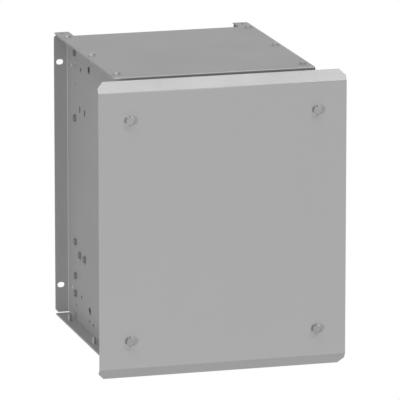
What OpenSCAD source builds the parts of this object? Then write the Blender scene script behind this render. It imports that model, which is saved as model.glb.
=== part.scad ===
// Wall-mounted braking resistor in a sheet steel housing.
// X runs to the right, the front faces -Y, the wall is the plane Y = 0 and Z is up.
// The origin is on the wall, at the centre of the four wall slots.

/* [Housing] */
// Width of the housing over its outward flanges
body_w = 333; // [325:1:345]
// Height of the housing over its top and bottom plates
body_h = 480; // [470:1:500]
// Depth of the housing from the wall to its front face
body_d = 392; // [388:1:410]
// Width over the outer faces of the two side plates
web_w = 288; // [282:1:292]
// Thickness of the housing sheet
sheet_t = 1.5; // [1.2:0.1:2]
// Inside radius of the sheet bends
bend_r = 1; // [0.5:0.5:2]
// Depth of the open gap between the wall and the rear panel
wall_gap = 36; // [30:1:40]
// Height of the lips at the front of the top and bottom plates
front_lip = 12; // [10:0.5:14]
// Open strip for the air between those lips and the front guard
air_strip = 11; // [6:0.5:12]
// Cut at the outer corners of the flanges
corner_cut = 5; // [2:0.5:6]
// Distance of the top screws and cover bolts from the flange edge
flange_line = 11.5; // [10:0.5:12]
// Distance of the bottom screws from the flange edge
bottom_line = 8.5; // [8:0.5:11]

/* [Wall slots] */
// Height between the upper and lower wall slots
slot_pitch_z = 380; // [340:1:400]
// Distance of each wall slot from the flange edge
slot_edge = 9.5; // [9:0.5:10.5]
// Length of a wall slot
slot_len = 12; // [9:0.5:13]
// Width of a wall slot
slot_w = 9; // [6:0.5:9]

/* [Front cover] */
// Width of the cover
cover_w = 410; // [380:1:440]
// Height of the flat face of the cover
cover_h = 450; // [430:1:470]
// Rise of the bent lips beyond the flat face
lip_rise = 17.5; // [10:0.5:24]
// Depth that the lips reach back
lip_back = 12; // [6:0.5:20]
// Cut at the lip corners
lip_cut = 9.5; // [4:0.5:12]
// Clear distance from the side plates to the back of the cover
cover_stand = 46; // [36:1:60]
// Height between the upper and lower cover bolts
bolt_pitch_z = 360; // [340:1:380]

/* [Fasteners] */
// Thread diameter of the housing screws
screw_d = 6; // [5:0.5:6]
// Width across flats of the housing screws and nuts
screw_af = 10; // [8:0.5:10]
// Head height of the housing screws
screw_k = 4; // [3:0.5:5]
// Diameter of the flange under the head of the top and bottom screws
screw_flange_d = 13; // [12:0.5:14]
// Thread diameter of the cover bolts and element rods
bolt_d = 8; // [6:0.5:8]
// Width across flats of the cover bolts
bolt_af = 13; // [11:0.5:13]
// Head height of the cover bolts
bolt_k = 5.3; // [4:0.1:6]
// Diameter of the washers of the cover bolts
washer_d = 16; // [15:0.5:18]
// Thickness of those washers
washer_t = 1.6; // [1:0.1:2]
// Thread length of the cover bolts
bolt_len = 22; // [18:1:30]

/* [Resistor elements] */
// Outer diameter of the ceramic core tubes
core_d = 60; // [50:1:64]
// Bore of the ceramic core tubes
core_bore = 40; // [30:1:44]
// Radial height of the wound ribbon
ribbon_h = 8; // [5:0.5:10]
// Distance from turn to turn of the ribbon
ribbon_pitch = 8; // [6:0.5:12]
// Turns of ribbon on each core
ribbon_turns = 19; // [12:1:20]
// Distance between the element rows
row_pitch = 100; // [96:1:104]
// Distance between the two element columns
column_pitch = 140; // [130:1:150]
// Distance between the inner faces of the rack plates
rack_w = 224; // [218:1:226]

/* [Cable glands] */
// Thread diameter of the power gland
power_gland_d = 25; // [20:1:32]
// Cable opening of the power gland seal
power_cable_d = 13; // [9:0.5:14]
// Thread diameter of the signal gland
signal_gland_d = 16; // [12:1:20]
// Cable opening of the signal gland seal
signal_cable_d = 7; // [4:0.5:8]

/* [Hidden] */
$fn = 48;

// Clearances
over = 1;             // how far a cutter runs past the sheet
thread_gap = 0.05;    // radial, screw in its nut
hole_gap = 0.3;       // radial, screw in a plain hole
seat_gap = 0.3;       // between pieces that come apart
flange_gap = 0.2;     // between the ends of two flanges
flange_relief = 9;    // from the wall or front plane to the end of a top or bottom flange

// Housing, worked out from the driving sizes
body_x = body_w / 2;
web_x = web_w / 2;
web_in = web_x - sheet_t;
top_z = body_h / 2;
side_top = top_z - sheet_t;
side_d = body_d - sheet_t;
bend_out = bend_r + sheet_t;
flange_x = body_x - flange_line;
top_screw_y = [49, 207, 365];
bottom_screw_y = [62, 222, 365];
bottom_x = body_x - bottom_line;
nut_m = 5;
top_screw_len = 12;
bottom_screw_len = 14;
ear_hole = [12, 5];
ear_in = 1;           // how far the top plate's ears reach over the side plates

// Plain holes in the side plates: distance from the wall, height above the middle, diameter.
// The pattern is the same above and below the middle.
rear_screw_y = 54;
rear_hole_d = screw_d + 2 * hole_gap;
web_holes = [
    [23.5, 189, 8],
    [rear_screw_y, 214.5, rear_hole_d],
    [rear_screw_y, 193, rear_hole_d],
    [rear_screw_y, 163, rear_hole_d],
    [rear_screw_y, 105, rear_hole_d],
    [89, 192.5, 8.5],
    [141.5, 202.5, 13.5],
    [141.5, 221, 8],
    [166, 222, 7.4]
];
rear_screw_z = [214.5, 105, -105, -163, -193];
spare_hole_z = -214.5;
panel_flange = 28;

// Rails that carry the element rack, and the upright slots for their screws
rail_slot_rear = 82;
rail_slot_step = 32;
rail_slot_y = [rail_slot_rear, rail_slot_rear + rail_slot_step,
               side_d - rail_slot_rear - rail_slot_step, side_d - rail_slot_rear];
rail_slot_z = 124.5;
rail_slot_h = 13;
rail_slot_w = 8;
rail_screw_z = -rail_slot_z + 3;
rail_top = rail_screw_z + 13.5;
rail_leg = 28;
rail_y0 = 67;
rail_y1 = 372;

// Element rack
rack_x = rack_w / 2;
rail_seat = web_in - rack_x;
rack_foot = rail_seat - 2 * sheet_t - 2;
rack_top = 214;
rack_y0 = 72;
rack_y1 = 366;
rack_screw_y = [100, 338];
rack_screw_x = (rack_x + bend_out + web_in - sheet_t) / 2;
column_mid = 210;
column_y = [column_mid - column_pitch / 2, column_mid + column_pitch / 2];
first_row = -35;
insulator_t = 6;
spigot = 8;
core_len = rack_w - 2 * insulator_t;
ribbon_t = 1.6;
ribbon_base = 0.8;
band_w = 12;
band_t = 1.6;
band_x = ribbon_turns * ribbon_pitch / 2;
lug_t = 3;
lug_x = band_x + band_w / 2 + lug_t / 2;
lug_hole = core_d / 2 + 16;
lug_end = core_d / 2 + 24;
lug_w = 16;
link_t = 2;
rod_end = rack_x + sheet_t + 6.5 + 5;

// The six elements in the order that the current takes: column, row
elements = [[0, 0], [1, 0], [1, 1], [0, 1], [0, 2], [1, 2]];
function element_y(i) = -column_y[elements[i][0]];
function element_z(i) = first_row + elements[i][1] * row_pitch;

// Terminal compartment under the rack
stud_pitch = 42;
last_stud = column_y[1] + lug_hole + lug_w + 4;
term_y = [last_stud - stud_pitch, last_stud];
term_z = -162;
block_t = 24;
block_end = 18;
block_y0 = term_y[0] - block_end;
block_y1 = term_y[1] + block_end;
block_z0 = term_z - 24;
block_z1 = term_z + 22;
stud_out = 34;
floor_z = -side_top;
bracket_foot = 26;
switch_pos = [rack_x, -column_mid, 110];
switch_r = 12;
switch_h = 12;
lead_r = 1.3;
signal_pos = [rack_x - 8, -column_mid];
signal_size = [22, 40, 30];
power_gland_xy = [-40, -325];
signal_gland_xy = [60, -325];
earth_xy = [10, -345];

// Small helpers

module hexagon(af, h) {
    cylinder(d = af / cos(30), h = h, $fn = 6);
}

// Screw with its seat at z = 0, the head above and the thread below
module hex_screw(d, af, k, len) {
    hexagon(af, k);
    translate([0, 0, -len]) cylinder(d = d, h = len + over / 2);
}

// Nut standing on z = 0
module hex_nut(d, af, m) {
    difference() {
        hexagon(af, m);
        translate([0, 0, -over]) cylinder(r = d / 2 + thread_gap, h = m + 2 * over);
    }
}

// Cutter for an oblong hole, long along X, through the plane z = 0
module slot_cutter(len, w, depth) {
    cube([len - w, w, depth], center = true);
    for (s = [-1, 1]) translate([s * (len - w) / 2, 0, 0]) cylinder(d = w, h = depth, center = true);
}

// Quarter of a sheet bend around Z, from +X to +Y
module bend_quarter(length) {
    rotate_extrude(angle = 90) translate([bend_r, -length / 2]) square([sheet_t, length]);
}

module both_sides() {
    for (m = [0, 1]) mirror([m, 0, 0]) children();
}

module top_and_bottom() {
    for (m = [0, 1]) mirror([0, 0, m]) children();
}

// Points a child's +Z axis along +X, -X, -Y or -Z
module point_x() { rotate([0, 90, 0]) children(); }
module point_minus_x() { rotate([0, -90, 0]) children(); }
module point_front() { rotate([90, 0, 0]) children(); }
module point_down() { rotate([180, 0, 0]) children(); }

// Side plates

module upright_flange() {
    length = 2 * (side_top - sheet_t - flange_gap);
    difference() {
        union() {
            translate([web_x + bend_r, -sheet_t, -length / 2])
                cube([body_x - web_x - bend_r, sheet_t, length]);
            translate([web_x + bend_r, -bend_out, 0]) rotate([0, 0, 90]) bend_quarter(length);
        }
        top_and_bottom() translate([body_x, 0, length / 2]) rotate([0, 45, 0])
            cube([corner_cut * sqrt(2), 3 * sheet_t, corner_cut * sqrt(2)], center = true);
    }
}

module level_flange() {
    length = side_d - 2 * flange_relief;
    difference() {
        union() {
            translate([web_x + bend_r, -length / 2, side_top - sheet_t])
                cube([body_x - web_x - bend_r, length, sheet_t]);
            translate([web_x + bend_r, 0, side_top - bend_out])
                rotate([90, 0, 0]) rotate([0, 0, 90]) bend_quarter(length);
        }
        for (s = [-1, 1]) translate([body_x, s * length / 2, side_top]) rotate([0, 0, 45])
            cube([corner_cut * sqrt(2), corner_cut * sqrt(2), 3 * sheet_t], center = true);
    }
}

module web_cut(y, z, d) {
    translate([web_x - sheet_t / 2, -y, z]) point_x() cylinder(d = d, h = sheet_t + 2 * over, center = true);
}

module side_plate() {
    difference() {
        union() {
            translate([web_in, -side_d + bend_out, -side_top + bend_out])
                cube([sheet_t, side_d - 2 * bend_out, 2 * (side_top - bend_out)]);
            upright_flange();
            translate([0, -side_d, 0]) mirror([0, 1, 0]) upright_flange();
            top_and_bottom() translate([0, -side_d / 2, 0]) level_flange();
        }
        for (h = web_holes) top_and_bottom() web_cut(h[0], h[1], h[2]);
        for (y = rail_slot_y) top_and_bottom() translate([web_x, -y, rail_slot_z])
            point_x() slot_cutter(rail_slot_h, rail_slot_w, 4 * sheet_t);
        top_and_bottom() {
            translate([body_x - slot_edge, 0, slot_pitch_z / 2])
                rotate([90, 0, 0]) slot_cutter(slot_len, slot_w, 3 * sheet_t);
            translate([flange_x, -side_d, bolt_pitch_z / 2])
                point_front() cylinder(r = bolt_d / 2 + 0.5, h = 3 * sheet_t, center = true);
        }
        for (y = top_screw_y) translate([flange_x, -y, side_top])
            cylinder(r = screw_d / 2 + thread_gap, h = 4 * sheet_t, center = true);
        for (y = bottom_screw_y) translate([bottom_x, -y, -side_top])
            cylinder(r = screw_d / 2 + thread_gap, h = 4 * sheet_t, center = true);
    }
}

module right_side_plate() { color("#8c8c8c") side_plate(); }
module left_side_plate() { color("#8c8c8c") mirror([1, 0, 0]) side_plate(); }

// Top and bottom plates

module end_plate(screw_x, screw_y) {
    flat_d = body_d - bend_out;
    difference() {
        union() {
            translate([-body_x, -flat_d, side_top]) cube([body_w, flat_d, sheet_t]);
            translate([0, -flat_d, top_z - bend_out])
                rotate([0, 90, 0]) rotate([0, 0, 180]) bend_quarter(body_w);
            translate([-body_x, -body_d, top_z - front_lip]) cube([body_w, sheet_t, front_lip - bend_out]);
        }
        translate([-web_in + ear_in, -wall_gap, side_top - over])
            cube([2 * (web_in - ear_in), wall_gap + over, sheet_t + 2 * over]);
        both_sides() {
            translate([body_x, 0, side_top]) rotate([0, 0, 45])
                cube([corner_cut, corner_cut, 3 * sheet_t], center = true);
            translate([flange_x, -ear_hole[0], top_z])
                cylinder(d = ear_hole[1], h = 3 * sheet_t, center = true);
            for (y = screw_y) translate([screw_x, -y, top_z])
                cylinder(r = screw_d / 2 + hole_gap, h = 3 * sheet_t, center = true);
        }
    }
}

module top_plate() { color("#a0a0a0") end_plate(flange_x, top_screw_y); }

vent_count = 14;
vent_pitch = 12;
vent_w = 6;
vent_len = 80;
vent_y = [125, 220];

module bottom_plate() {
    color("#8c8c8c") difference() {
        mirror([0, 0, 1]) end_plate(bottom_x, bottom_screw_y);
        for (y = vent_y, i = [0 : vent_count - 1])
            translate([(i - (vent_count - 1) / 2) * vent_pitch, -y, -top_z])
                rotate([0, 0, 90]) slot_cutter(vent_len, vent_w, 3 * sheet_t);
        translate([power_gland_xy[0], power_gland_xy[1], -top_z])
            cylinder(r = power_gland_d / 2 + hole_gap, h = 3 * sheet_t, center = true);
        translate([signal_gland_xy[0], signal_gland_xy[1], -top_z])
            cylinder(r = signal_gland_d / 2 + hole_gap, h = 3 * sheet_t, center = true);
        translate([earth_xy[0], earth_xy[1], -top_z])
            cylinder(r = bolt_d / 2 + hole_gap, h = 3 * sheet_t, center = true);
        for (y = bracket_screw_y) translate([bracket_screw_x, -y, -top_z])
            cylinder(r = screw_d / 2 + hole_gap, h = 3 * sheet_t, center = true);
    }
}

// Rear panel with two forward flanges against the side plates

module rear_panel() {
    panel_h = 2 * (side_top - flange_gap);
    color("#828282") difference() {
        union() {
            translate([-web_in + bend_out, -wall_gap - sheet_t, -panel_h / 2])
                cube([2 * (web_in - bend_out), sheet_t, panel_h]);
            both_sides() {
                translate([web_in - bend_out, -wall_gap - bend_out, 0]) bend_quarter(panel_h);
                translate([web_in - sheet_t, -wall_gap - panel_flange, -panel_h / 2])
                    cube([sheet_t, panel_flange - bend_out, panel_h]);
            }
        }
        for (z = concat(rear_screw_z, [spare_hole_z])) both_sides()
            translate([web_in, -rear_screw_y, z]) point_x()
                cylinder(r = screw_d / 2 + hole_gap, h = 3 * sheet_t, center = true);
    }
}

rear_screw_len = 2 * sheet_t + nut_m + 3;

module rear_panel_screws() {
    color("#787878") for (z = rear_screw_z) both_sides()
        translate([web_x, -rear_screw_y, z]) point_x() hex_screw(screw_d, screw_af, screw_k, rear_screw_len);
}

module rear_panel_nuts() {
    color("#9a9a9a") for (z = rear_screw_z) both_sides()
        translate([web_in - sheet_t, -rear_screw_y, z]) point_minus_x() hex_nut(screw_d, screw_af, nut_m);
}

// Flanged screws through the top and bottom plates into the tapped side plate flanges

module flange_screw(len) {
    hex_screw(screw_d, screw_af, screw_k, len);
    cylinder(d = screw_flange_d, h = 1);
}

module top_screws() {
    color("#b0b0b0") both_sides() for (y = top_screw_y)
        translate([flange_x, -y, top_z]) flange_screw(top_screw_len);
}

module bottom_screws() {
    color("#b0b0b0") both_sides() for (y = bottom_screw_y)
        translate([bottom_x, -y, -top_z]) point_down() flange_screw(bottom_screw_len);
}

// Slotted guard sheet over the open front

guard_t = 1.5;
guard_cols = 15;
guard_rows = 5;
guard_pitch_x = 17;
guard_pitch_z = 82;
guard_slot = [68, 9];
guard_y = side_d + guard_t;

module front_guard() {
    guard_h = body_h - 2 * front_lip - 2 * air_strip;
    color("#747474") difference() {
        translate([-body_x + over, -guard_y, -guard_h / 2]) cube([body_w - 2 * over, guard_t, guard_h]);
        for (i = [0 : guard_cols - 1], j = [0 : guard_rows - 1]) {
            x = (i - (guard_cols - 1) / 2) * guard_pitch_x;
            z = (j - (guard_rows - 1) / 2) * guard_pitch_z;
            translate([x, -guard_y, z]) rotate([90, 90, 0])
                slot_cutter(guard_slot[0], guard_slot[1], 4 * guard_t);
        }
        both_sides() top_and_bottom() translate([flange_x, -guard_y, bolt_pitch_z / 2])
            point_front() cylinder(r = bolt_d / 2 + 0.5, h = 4 * guard_t, center = true);
    }
}

// Front cover, its stand-offs and bolts

cover_y = side_d + cover_stand;
lip_turn = atan2(lip_back, lip_rise);
arc_steps = 6;
bend_run = bend_out * tan(lip_turn / 2);
lip_dir = [lip_back, lip_rise] / norm([lip_back, lip_rise]);

// Upper half of the cover's section: Y against Z, going up the front and down the back
function cover_arc(r) = [for (i = [0 : arc_steps]) let (a = lip_turn * i / arc_steps)
    [-cover_y - sheet_t + bend_out - r * cos(a), cover_h / 2 - bend_run + r * sin(a)]];
cover_tip = [-cover_y - sheet_t + lip_back, cover_h / 2 + lip_rise];
cover_tip_back = cover_tip + sheet_t * [lip_dir[1], -lip_dir[0]];
function reversed(list) = [for (i = [len(list) - 1 : -1 : 0]) list[i]];
upper_section = concat(cover_arc(bend_out), [cover_tip, cover_tip_back], reversed(cover_arc(bend_r)));
lower_section = [for (p = reversed(upper_section)) [p[0], -p[1]]];

module front_cover() {
    color("#a9a9a9") difference() {
        translate([-cover_w / 2, 0, 0]) rotate([90, 0, 90])
            linear_extrude(cover_w) polygon(concat(upper_section, lower_section));
        both_sides() top_and_bottom() {
            translate([flange_x, -cover_y, bolt_pitch_z / 2])
                point_front() cylinder(r = bolt_d / 2 + 0.5, h = 4 * sheet_t, center = true);
            translate([cover_w / 2, -cover_y, cover_h / 2 + lip_rise]) rotate([0, 45, 0])
                cube([lip_cut * sqrt(2), 4 * lip_back, lip_cut * sqrt(2)], center = true);
        }
    }
}

module at_cover_bolts() {
    both_sides() top_and_bottom() translate([flange_x, 0, bolt_pitch_z / 2]) children();
}

module cover_bolts() {
    color("#9c9c9c") at_cover_bolts() translate([0, -cover_y - sheet_t - washer_t, 0])
        point_front() rotate([0, 0, 20]) hex_screw(bolt_d, bolt_af, bolt_k, bolt_len);
}

module cover_washers() {
    color("#9c9c9c") at_cover_bolts() translate([0, -cover_y - sheet_t, 0]) point_front() difference() {
        cylinder(d = washer_d, h = washer_t);
        translate([0, 0, -over]) cylinder(r = bolt_d / 2 + 0.2, h = washer_t + 2 * over);
    }
}

standoff_len = cover_stand - guard_t - seat_gap;
rod_nut_m = 6.5;
stud_len = guard_t + sheet_t + rod_nut_m + 4;

module cover_standoffs() {
    color("#9a9a9a") at_cover_bolts() translate([0, -guard_y, 0]) point_front() difference() {
        union() {
            hexagon(bolt_af, standoff_len);
            translate([0, 0, -stud_len]) cylinder(d = bolt_d, h = stud_len + over);
        }
        translate([0, 0, standoff_len - bolt_len - 2])
            cylinder(r = bolt_d / 2 + thread_gap, h = bolt_len + 2 + over);
    }
}

module standoff_nuts() {
    color("#9a9a9a") at_cover_bolts() translate([0, -side_d + sheet_t, 0])
        rotate([-90, 0, 0]) hex_nut(bolt_d, bolt_af, rod_nut_m);
}

// Rails on the side plates, carrying the element rack

module rail() {
    color("#8a8a8a") difference() {
        union() {
            translate([web_in - sheet_t, -rail_y1, rail_top - rail_leg])
                cube([sheet_t, rail_y1 - rail_y0, rail_leg - bend_out]);
            translate([web_in - rail_seat, -rail_y1, rail_top - sheet_t])
                cube([rail_seat - bend_out, rail_y1 - rail_y0, sheet_t]);
            translate([web_in - bend_out, -(rail_y0 + rail_y1) / 2, rail_top - bend_out])
                rotate([90, 0, 0]) bend_quarter(rail_y1 - rail_y0);
        }
        for (y = rail_slot_y) translate([web_in, -y, rail_screw_z]) point_x()
            cylinder(r = screw_d / 2 + hole_gap, h = 4 * sheet_t, center = true);
        for (y = rack_screw_y) translate([rack_screw_x, -y, rail_top])
            cylinder(r = screw_d / 2 + hole_gap, h = 4 * sheet_t, center = true);
    }
}

module right_rail() { rail(); }
module left_rail() { mirror([1, 0, 0]) rail(); }

module rail_screws() {
    color("#787878") both_sides() for (y = rail_slot_y)
        translate([web_x, -y, rail_screw_z]) point_x() hex_screw(screw_d, screw_af, screw_k, rear_screw_len);
}

module rail_nuts() {
    color("#9a9a9a") both_sides() for (y = rail_slot_y)
        translate([web_in - sheet_t, -y, rail_screw_z]) point_minus_x() hex_nut(screw_d, screw_af, nut_m);
}

// Rack plates that hold the element rods

module rack_plate() {
    color("#979797") difference() {
        union() {
            translate([rack_x, -rack_y1, rail_top + bend_out])
                cube([sheet_t, rack_y1 - rack_y0, rack_top - rail_top - bend_out]);
            translate([rack_x + bend_out, -rack_y1, rail_top])
                cube([rack_foot - bend_r, rack_y1 - rack_y0, sheet_t]);
            translate([rack_x + bend_out, -(rack_y0 + rack_y1) / 2, rail_top + bend_out])
                rotate([90, 0, 0]) rotate([0, 0, 180]) bend_quarter(rack_y1 - rack_y0);
        }
        for (i = [0 : 5]) translate([rack_x, element_y(i), element_z(i)]) point_x()
            cylinder(r = bolt_d / 2 + hole_gap, h = 4 * sheet_t, center = true);
        for (y = rack_screw_y) translate([rack_screw_x, -y, rail_top])
            cylinder(r = screw_d / 2 + hole_gap, h = 4 * sheet_t, center = true);
    }
}

module right_rack_plate() { rack_plate(); }
module left_rack_plate() { mirror([1, 0, 0]) rack_plate(); }

module rack_screws() {
    color("#9a9a9a") both_sides() for (y = rack_screw_y)
        translate([rack_screw_x, -y, rail_top + sheet_t]) rotate([0, 0, 30])
            hex_screw(screw_d, screw_af, screw_k, rear_screw_len);
}

module rack_nuts() {
    color("#9a9a9a") both_sides() for (y = rack_screw_y)
        translate([rack_screw_x, -y, rail_top - sheet_t]) point_down() rotate([0, 0, 30])
            hex_nut(screw_d, screw_af, nut_m);
}

// Resistor elements: ceramic core, edge-wound ribbon, bands with lugs, insulators and rod

module at_element(i) {
    translate([0, element_y(i), element_z(i)]) point_x() children();
}

module element_core(i) {
    color("#d9d2c2") at_element(i) difference() {
        cylinder(d = core_d, h = core_len, center = true);
        cylinder(d = core_bore, h = core_len + 2 * over, center = true);
    }
}

// The ribbon stands on edge; its turns are drawn as fins on a thin sleeve
module element_winding(i) {
    length = ribbon_turns * ribbon_pitch;
    r0 = core_d / 2;
    fins = [for (t = [0 : ribbon_turns - 1]) let (z = -length / 2 + (t + 0.5) * ribbon_pitch)
        each [[r0 + ribbon_base, z - ribbon_t / 2], [r0 + ribbon_h, z - ribbon_t / 2],
              [r0 + ribbon_h, z + ribbon_t / 2], [r0 + ribbon_base, z + ribbon_t / 2]]];
    outline = concat([[r0, -length / 2], [r0 + ribbon_base, -length / 2]], fins,
                     [[r0 + ribbon_base, length / 2], [r0, length / 2]]);
    color("#b49a78") at_element(i) rotate_extrude() polygon(outline);
}

module element_core_1() { element_core(0); }
module element_core_2() { element_core(1); }
module element_core_3() { element_core(2); }
module element_core_4() { element_core(3); }
module element_core_5() { element_core(4); }
module element_core_6() { element_core(5); }
module element_winding_1() { element_winding(0); }
module element_winding_2() { element_winding(1); }
module element_winding_3() { element_winding(2); }
module element_winding_4() { element_winding(3); }
module element_winding_5() { element_winding(4); }
module element_winding_6() { element_winding(5); }

// Where the lug of each band points, as a turn around X: 0 is up, 90 is to the wall, -90 to the front.
// On the right all lugs point up; on the left they point to the wall or to the front.
left_lug_turn = [-90, 90, 90, -90, -90, 90];

// Band on a core at the right-hand end, with its lug turned around the core
module band(turn) {
    rotate([turn, 0, 0]) difference() {
        union() {
            translate([band_x, 0, 0]) point_x() cylinder(r = core_d / 2 + band_t, h = band_w);
            translate([lug_x - lug_t / 2, -lug_w / 2, core_d / 2]) cube([lug_t, lug_w, lug_end - core_d / 2]);
        }
        translate([band_x - over, 0, 0]) point_x() cylinder(d = core_d, h = band_w + 2 * over);
        translate([lug_x, 0, lug_hole]) point_x()
            cylinder(r = screw_d / 2 + hole_gap, h = 3 * lug_t, center = true);
    }
}

module terminal_bands() {
    color("#a8a49c") for (i = [0 : 5]) translate([0, element_y(i), element_z(i)]) {
        band(0);
        mirror([1, 0, 0]) band(left_lug_turn[i]);
    }
}

module end_insulators() {
    color("#e6e0d2") for (i = [0 : 5]) at_element(i) for (m = [0, 1]) mirror([0, 0, m]) difference() {
        union() {
            translate([0, 0, core_len / 2]) cylinder(r = core_d / 2 + 3, h = insulator_t);
            translate([0, 0, core_len / 2 - spigot]) cylinder(r = core_bore / 2 - 0.2, h = spigot + over);
        }
        translate([0, 0, core_len / 2 - spigot - over])
            cylinder(r = bolt_d / 2 + 0.2, h = spigot + insulator_t + 2 * over);
    }
}

module element_rods() {
    color("#a0a0a0") for (i = [0 : 5]) at_element(i) cylinder(d = bolt_d, h = 2 * rod_end, center = true);
}

module rod_nuts() {
    color("#a0a0a0") for (i = [0 : 5]) at_element(i) for (m = [0, 1]) mirror([0, 0, m])
        translate([0, 0, rack_x + sheet_t]) hex_nut(bolt_d, bolt_af, rod_nut_m);
}

// Links between neighbouring elements: upper three on the right, two uprights on the left

link_x = lug_x + lug_t / 2;

module link_bar(len) {
    difference() {
        translate([link_x, -lug_w / 2, -lug_w / 2]) cube([link_t, len + lug_w, lug_w]);
        for (y = [0, len]) translate([link_x, y, 0]) point_x()
            cylinder(r = screw_d / 2 + hole_gap, h = 4 * link_t, center = true);
    }
}

front_lug_y = -column_y[1] - lug_hole;
rear_lug_y = -column_y[0] + lug_hole;

module bus_links() {
    color("#b8b4aa") {
        for (r = [0 : 2]) translate([0, -column_y[1], first_row + r * row_pitch + lug_hole])
            link_bar(column_pitch);
        mirror([1, 0, 0]) {
            translate([0, front_lug_y, first_row]) rotate([90, 0, 0]) link_bar(row_pitch);
            translate([0, rear_lug_y, first_row + row_pitch]) rotate([90, 0, 0]) link_bar(row_pitch);
        }
    }
}

// Every screw of the links and bars: side, Y and Z
link_points = concat(
    [for (r = [0 : 2], y = column_y) [1, -y, first_row + r * row_pitch + lug_hole]],
    [for (r = [0 : 2]) [-1, front_lug_y, first_row + r * row_pitch]],
    [for (r = [0 : 2]) [-1, rear_lug_y, first_row + r * row_pitch]]);
link_screw_len = link_t + lug_t + nut_m + 1;

module link_screws() {
    color("#a0a0a0") for (p = link_points) mirror([p[0] < 0 ? 1 : 0, 0, 0])
        translate([link_x + link_t, p[1], p[2]]) point_x()
            hex_screw(screw_d, screw_af, screw_k, link_screw_len);
}

module link_nuts() {
    color("#a0a0a0") for (p = link_points) mirror([p[0] < 0 ? 1 : 0, 0, 0])
        translate([link_x - lug_t, p[1], p[2]]) point_minus_x() hex_nut(screw_d, screw_af, nut_m);
}

// Bars from the first and last element down to the terminals, both in one upright plane

module bar_plane() {
    translate([-link_x - link_t, 0, 0]) children();
}

module bar_hole(y, z, d) {
    translate([0, y, z]) point_x() cylinder(r = d / 2 + hole_gap, h = 4 * link_t, center = true);
}

module input_bar() {
    color("#b8b4aa") bar_plane() difference() {
        union() {
            translate([0, rear_lug_y - lug_w / 2, term_z - lug_w / 2])
                cube([link_t, lug_w, first_row - term_z + lug_w]);
            translate([0, -term_y[0] - lug_w / 2, term_z - lug_w / 2])
                cube([link_t, term_y[0] + rear_lug_y + lug_w, lug_w]);
        }
        bar_hole(rear_lug_y, first_row, screw_d);
        bar_hole(-term_y[0], term_z, bolt_d);
    }
}

module output_bar() {
    last_z = first_row + 2 * row_pitch;
    color("#b8b4aa") bar_plane() difference() {
        union() {
            translate([0, -term_y[1] - lug_w / 2, last_z - lug_w / 2])
                cube([link_t, term_y[1] + front_lug_y + lug_w, lug_w]);
            translate([0, -term_y[1] - lug_w / 2, term_z - lug_w / 2])
                cube([link_t, lug_w, last_z - term_z + lug_w]);
        }
        bar_hole(front_lug_y, last_z, screw_d);
        bar_hole(-term_y[1], term_z, bolt_d);
    }
}

// Ceramic terminal block on its bracket, with two studs

block_x = link_x + link_t;
block_wall = 3;

module terminal_block() {
    mid_y = (block_y0 + block_y1) / 2;
    color("#e9e4d8") difference() {
        union() {
            translate([-block_x - block_t, -block_y1, block_z0])
                cube([block_t, block_y1 - block_y0, block_z1 - block_z0]);
            for (y = [mid_y, block_y1 - block_wall + 1])
                translate([-block_x, -y - block_wall + 1, block_z0])
                    cube([10, block_wall - 1, block_z1 - block_z0 - 14]);
        }
        translate([-block_x - 1, -block_y1 - over, term_z + 15])
            cube([block_t, block_y1 - block_y0 + 2 * over, block_t]);
        for (y = term_y) translate([-block_x, -y, term_z]) point_x()
            cylinder(r = bolt_d / 2 + 0.2, h = 2 * block_t + 4 * over, center = true);
    }
}

module terminal_studs() {
    color("#c9a24b") for (y = term_y) translate([-block_x - block_t + 2, -y, term_z]) point_x()
        cylinder(d = bolt_d, h = block_t - 2 + stud_out);
}

module terminal_nuts() {
    color("#c9a24b") for (y = term_y, x = [link_t, link_t + rod_nut_m + 3])
        translate([-block_x + x, -y, term_z]) point_x() hex_nut(bolt_d, bolt_af, rod_nut_m);
}

bracket_x = -block_x - block_t;
bracket_screw_x = bracket_x + bracket_foot / 2;
bracket_screw_y = [block_y0 + 12, block_y1 - 12];

module terminal_bracket() {
    length = block_y1 - block_y0;
    color("#9a9a9a") difference() {
        union() {
            translate([bracket_x - sheet_t, -block_y1, floor_z + bend_out])
                cube([sheet_t, length, block_z1 - 8 - floor_z - bend_out]);
            translate([bracket_x + bend_r, -block_y1, floor_z])
                cube([bracket_foot - bend_r, length, sheet_t]);
            translate([bracket_x + bend_r, -(block_y0 + block_y1) / 2, floor_z + bend_out])
                rotate([90, 0, 0]) rotate([0, 0, 180]) bend_quarter(length);
        }
        for (y = bracket_screw_y) {
            translate([bracket_screw_x, -y, floor_z])
                cylinder(r = screw_d / 2 + hole_gap, h = 4 * sheet_t, center = true);
        }
    }
}

module bracket_screws() {
    color("#9a9a9a") for (y = bracket_screw_y) {
        translate([bracket_screw_x, -y, floor_z - sheet_t]) point_down()
            hex_screw(screw_d, screw_af, screw_k, rear_screw_len);
        translate([bracket_screw_x, -y, floor_z + sheet_t]) hex_nut(screw_d, screw_af, nut_m);
    }
}

// Thermal switch on the right rack plate, its two leads and the signal terminal

tab_gap = 5;

module thermal_switch() {
    color("#2e2e30") translate(switch_pos) point_minus_x() {
        cylinder(r = switch_r + 4, h = 1.5);
        cylinder(r = switch_r, h = switch_h - 3);
        cylinder(r = switch_r - 3, h = switch_h - 2);
        for (s = [-1, 1]) translate([-switch_r + 4, s * tab_gap - 3, 0]) cube([8, 6, switch_h - 1]);
    }
}

lead_x = rack_x - switch_h + 1 - lead_r;
lead_top = switch_pos[2] - switch_r + 7;
signal_top = floor_z + signal_size[2];

module switch_leads() {
    color("#c8c4b4") for (s = [-1, 1]) {
        lead_y = signal_pos[1] + s * tab_gap;
        translate([lead_x, lead_y, signal_top - 6]) cylinder(r = lead_r, h = lead_top - signal_top + 6);
    }
}

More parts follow.
